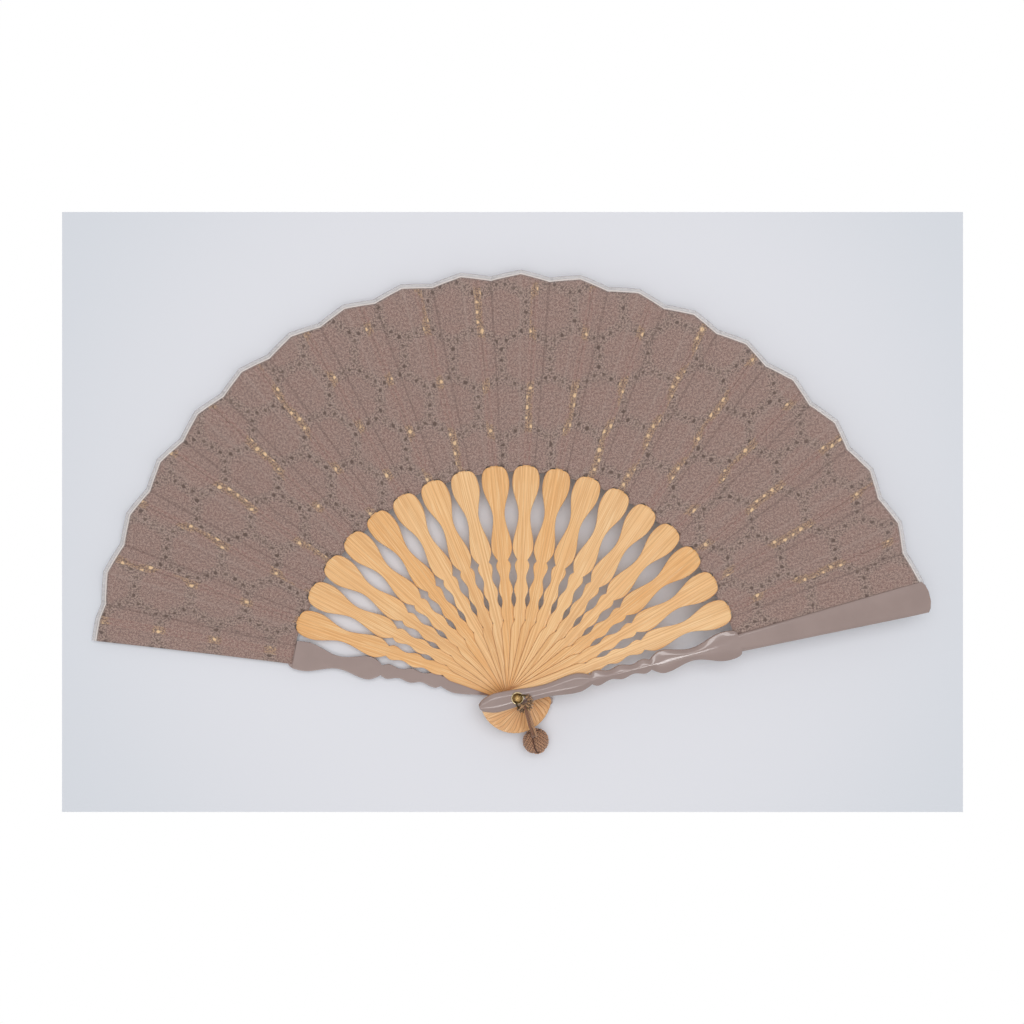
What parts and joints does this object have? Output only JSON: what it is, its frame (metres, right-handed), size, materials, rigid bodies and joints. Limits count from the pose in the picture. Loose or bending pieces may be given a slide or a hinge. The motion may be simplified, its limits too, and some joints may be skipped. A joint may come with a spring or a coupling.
{
  "type": "folding fan",
  "caption": "Open hand fan: carved bamboo ribs between two lacquered guards on one rivet, a pleated eyelet-cloth leaf, and a corded ball charm.",
  "frame": {"origin": "centre of the flat back of the rivet, on the axis that every stick turns about", "axes": "+Z along the rivet's axis, from the back guard to the front guard; +Y from the pivot to the middle of the open leaf; +X to the right, towards the front guard"},
  "size_m": [0.3848, 0.2232, 0.0214],
  "materials": {
    "bamboo": "smooth sealed bamboo with fine lengthwise grain",
    "lacquer": "taupe gloss lacquer on bamboo",
    "cloth": "thin taupe eyelet cotton, pleated",
    "brass": "polished brass",
    "antique_brass": "darkened antique brass",
    "thread": "brown twisted cotton cord"
  },
  "bodies": {
    "back_guard": {"back_guard": "lacquer", "rivet_barrel": "brass", "cup_washer": "brass", "leaf_01": "cloth"},
    "rib_01": {"rib_01": "bamboo", "leaf_02": "cloth"},
    "rib_02": {"rib_02": "bamboo", "leaf_03": "cloth"},
    "rib_03": {"rib_03": "bamboo", "leaf_04": "cloth"},
    "rib_04": {"rib_04": "bamboo", "leaf_05": "cloth"},
    "rib_05": {"rib_05": "bamboo", "leaf_06": "cloth"},
    "rib_06": {"rib_06": "bamboo", "leaf_07": "cloth"},
    "rib_07": {"rib_07": "bamboo", "leaf_08": "cloth"},
    "rib_08": {"rib_08": "bamboo", "leaf_09": "cloth"},
    "rib_09": {"rib_09": "bamboo", "leaf_10": "cloth"},
    "rib_10": {"rib_10": "bamboo", "leaf_11": "cloth"},
    "rib_11": {"rib_11": "bamboo", "leaf_12": "cloth"},
    "rib_12": {"rib_12": "bamboo", "leaf_13": "cloth"},
    "rib_13": {"rib_13": "bamboo", "leaf_14": "cloth"},
    "rib_14": {"rib_14": "bamboo", "leaf_15": "cloth"},
    "rib_15": {"rib_15": "bamboo", "leaf_16": "cloth"},
    "rib_16": {"rib_16": "bamboo", "leaf_17": "cloth"},
    "rib_17": {"rib_17": "bamboo", "leaf_18": "cloth"},
    "rib_18": {"rib_18": "bamboo", "leaf_19": "cloth"},
    "front_guard": {"front_guard": "lacquer"},
    "charm": {"pivot_pin": "brass", "jump_ring": "antique_brass", "charm_cord": "thread", "ball_knot": "thread"}
  },
  "joints": [
    {"name": "fold_01", "type": "hinge", "parent": "back_guard", "child": "rib_01", "pos_m": [0, 0, 0.0041], "axis": [0, 0, 1], "range_deg": [0, 8.59], "deforming": ["leaf_01"]},
    {"name": "fold_02", "type": "hinge", "parent": "rib_01", "child": "rib_02", "pos_m": [0, 0, 0.0047], "axis": [0, 0, 1], "range_deg": [0, 8.16], "deforming": ["leaf_02"]},
    {"name": "fold_03", "type": "hinge", "parent": "rib_02", "child": "rib_03", "pos_m": [0, 0, 0.0053], "axis": [0, 0, 1], "range_deg": [0, 8.16], "deforming": ["leaf_03"]},
    {"name": "fold_04", "type": "hinge", "parent": "rib_03", "child": "rib_04", "pos_m": [0, 0, 0.0059], "axis": [0, 0, 1], "range_deg": [0, 8.16], "deforming": ["leaf_04"]},
    {"name": "fold_05", "type": "hinge", "parent": "rib_04", "child": "rib_05", "pos_m": [0, 0, 0.0065], "axis": [0, 0, 1], "range_deg": [0, 8.16], "deforming": ["leaf_05"]},
    {"name": "fold_06", "type": "hinge", "parent": "rib_05", "child": "rib_06", "pos_m": [0, 0, 0.0071], "axis": [0, 0, 1], "range_deg": [0, 8.16], "deforming": ["leaf_06"]},
    {"name": "fold_07", "type": "hinge", "parent": "rib_06", "child": "rib_07", "pos_m": [0, 0, 0.0077], "axis": [0, 0, 1], "range_deg": [0, 8.16], "deforming": ["leaf_07"]},
    {"name": "fold_08", "type": "hinge", "parent": "rib_07", "child": "rib_08", "pos_m": [0, 0, 0.0083], "axis": [0, 0, 1], "range_deg": [0, 8.16], "deforming": ["leaf_08"]},
    {"name": "fold_09", "type": "hinge", "parent": "rib_08", "child": "rib_09", "pos_m": [0, 0, 0.0089], "axis": [0, 0, 1], "range_deg": [0, 8.16], "deforming": ["leaf_09"]},
    {"name": "fold_10", "type": "hinge", "parent": "rib_09", "child": "rib_10", "pos_m": [0, 0, 0.0095], "axis": [0, 0, 1], "range_deg": [0, 8.16], "deforming": ["leaf_10"]},
    {"name": "fold_11", "type": "hinge", "parent": "rib_10", "child": "rib_11", "pos_m": [0, 0, 0.0101], "axis": [0, 0, 1], "range_deg": [0, 8.16], "deforming": ["leaf_11"]},
    {"name": "fold_12", "type": "hinge", "parent": "rib_11", "child": "rib_12", "pos_m": [0, 0, 0.0107], "axis": [0, 0, 1], "range_deg": [0, 8.16], "deforming": ["leaf_12"]},
    {"name": "fold_13", "type": "hinge", "parent": "rib_12", "child": "rib_13", "pos_m": [0, 0, 0.0113], "axis": [0, 0, 1], "range_deg": [0, 8.16], "deforming": ["leaf_13"]},
    {"name": "fold_14", "type": "hinge", "parent": "rib_13", "child": "rib_14", "pos_m": [0, 0, 0.0119], "axis": [0, 0, 1], "range_deg": [0, 8.16], "deforming": ["leaf_14"]},
    {"name": "fold_15", "type": "hinge", "parent": "rib_14", "child": "rib_15", "pos_m": [0, 0, 0.0125], "axis": [0, 0, 1], "range_deg": [0, 8.16], "deforming": ["leaf_15"]},
    {"name": "fold_16", "type": "hinge", "parent": "rib_15", "child": "rib_16", "pos_m": [0, 0, 0.0131], "axis": [0, 0, 1], "range_deg": [0, 8.16], "deforming": ["leaf_16"]},
    {"name": "fold_17", "type": "hinge", "parent": "rib_16", "child": "rib_17", "pos_m": [0, 0, 0.0137], "axis": [0, 0, 1], "range_deg": [0, 8.16], "deforming": ["leaf_17"]},
    {"name": "fold_18", "type": "hinge", "parent": "rib_17", "child": "rib_18", "pos_m": [0, 0, 0.0143], "axis": [0, 0, 1], "range_deg": [0, 8.16], "deforming": ["leaf_18"]},
    {"name": "fold_19", "type": "hinge", "parent": "rib_18", "child": "front_guard", "pos_m": [0, 0, 0.016], "axis": [0, 0, 1], "range_deg": [0, 8.7], "deforming": ["leaf_19"]},
    {"name": "charm_swing", "type": "hinge", "parent": "back_guard", "child": "charm", "pos_m": [0, 0, 0.018], "axis": [0, 0, 1], "range_deg": [-79, 26]}
  ],
  "couplings": [
    {"joint": "fold_02", "follows": "fold_01", "ratio": 0.9499},
    {"joint": "fold_03", "follows": "fold_01", "ratio": 0.9499},
    {"joint": "fold_04", "follows": "fold_01", "ratio": 0.9499},
    {"joint": "fold_05", "follows": "fold_01", "ratio": 0.9499},
    {"joint": "fold_06", "follows": "fold_01", "ratio": 0.9499},
    {"joint": "fold_07", "follows": "fold_01", "ratio": 0.9499},
    {"joint": "fold_08", "follows": "fold_01", "ratio": 0.9499},
    {"joint": "fold_09", "follows": "fold_01", "ratio": 0.9499},
    {"joint": "fold_10", "follows": "fold_01", "ratio": 0.9499},
    {"joint": "fold_11", "follows": "fold_01", "ratio": 0.9499},
    {"joint": "fold_12", "follows": "fold_01", "ratio": 0.9499},
    {"joint": "fold_13", "follows": "fold_01", "ratio": 0.9499},
    {"joint": "fold_14", "follows": "fold_01", "ratio": 0.9499},
    {"joint": "fold_15", "follows": "fold_01", "ratio": 0.9499},
    {"joint": "fold_16", "follows": "fold_01", "ratio": 0.9499},
    {"joint": "fold_17", "follows": "fold_01", "ratio": 0.9499},
    {"joint": "fold_18", "follows": "fold_01", "ratio": 0.9499},
    {"joint": "fold_19", "follows": "fold_01", "ratio": 1.0128}
  ]
}
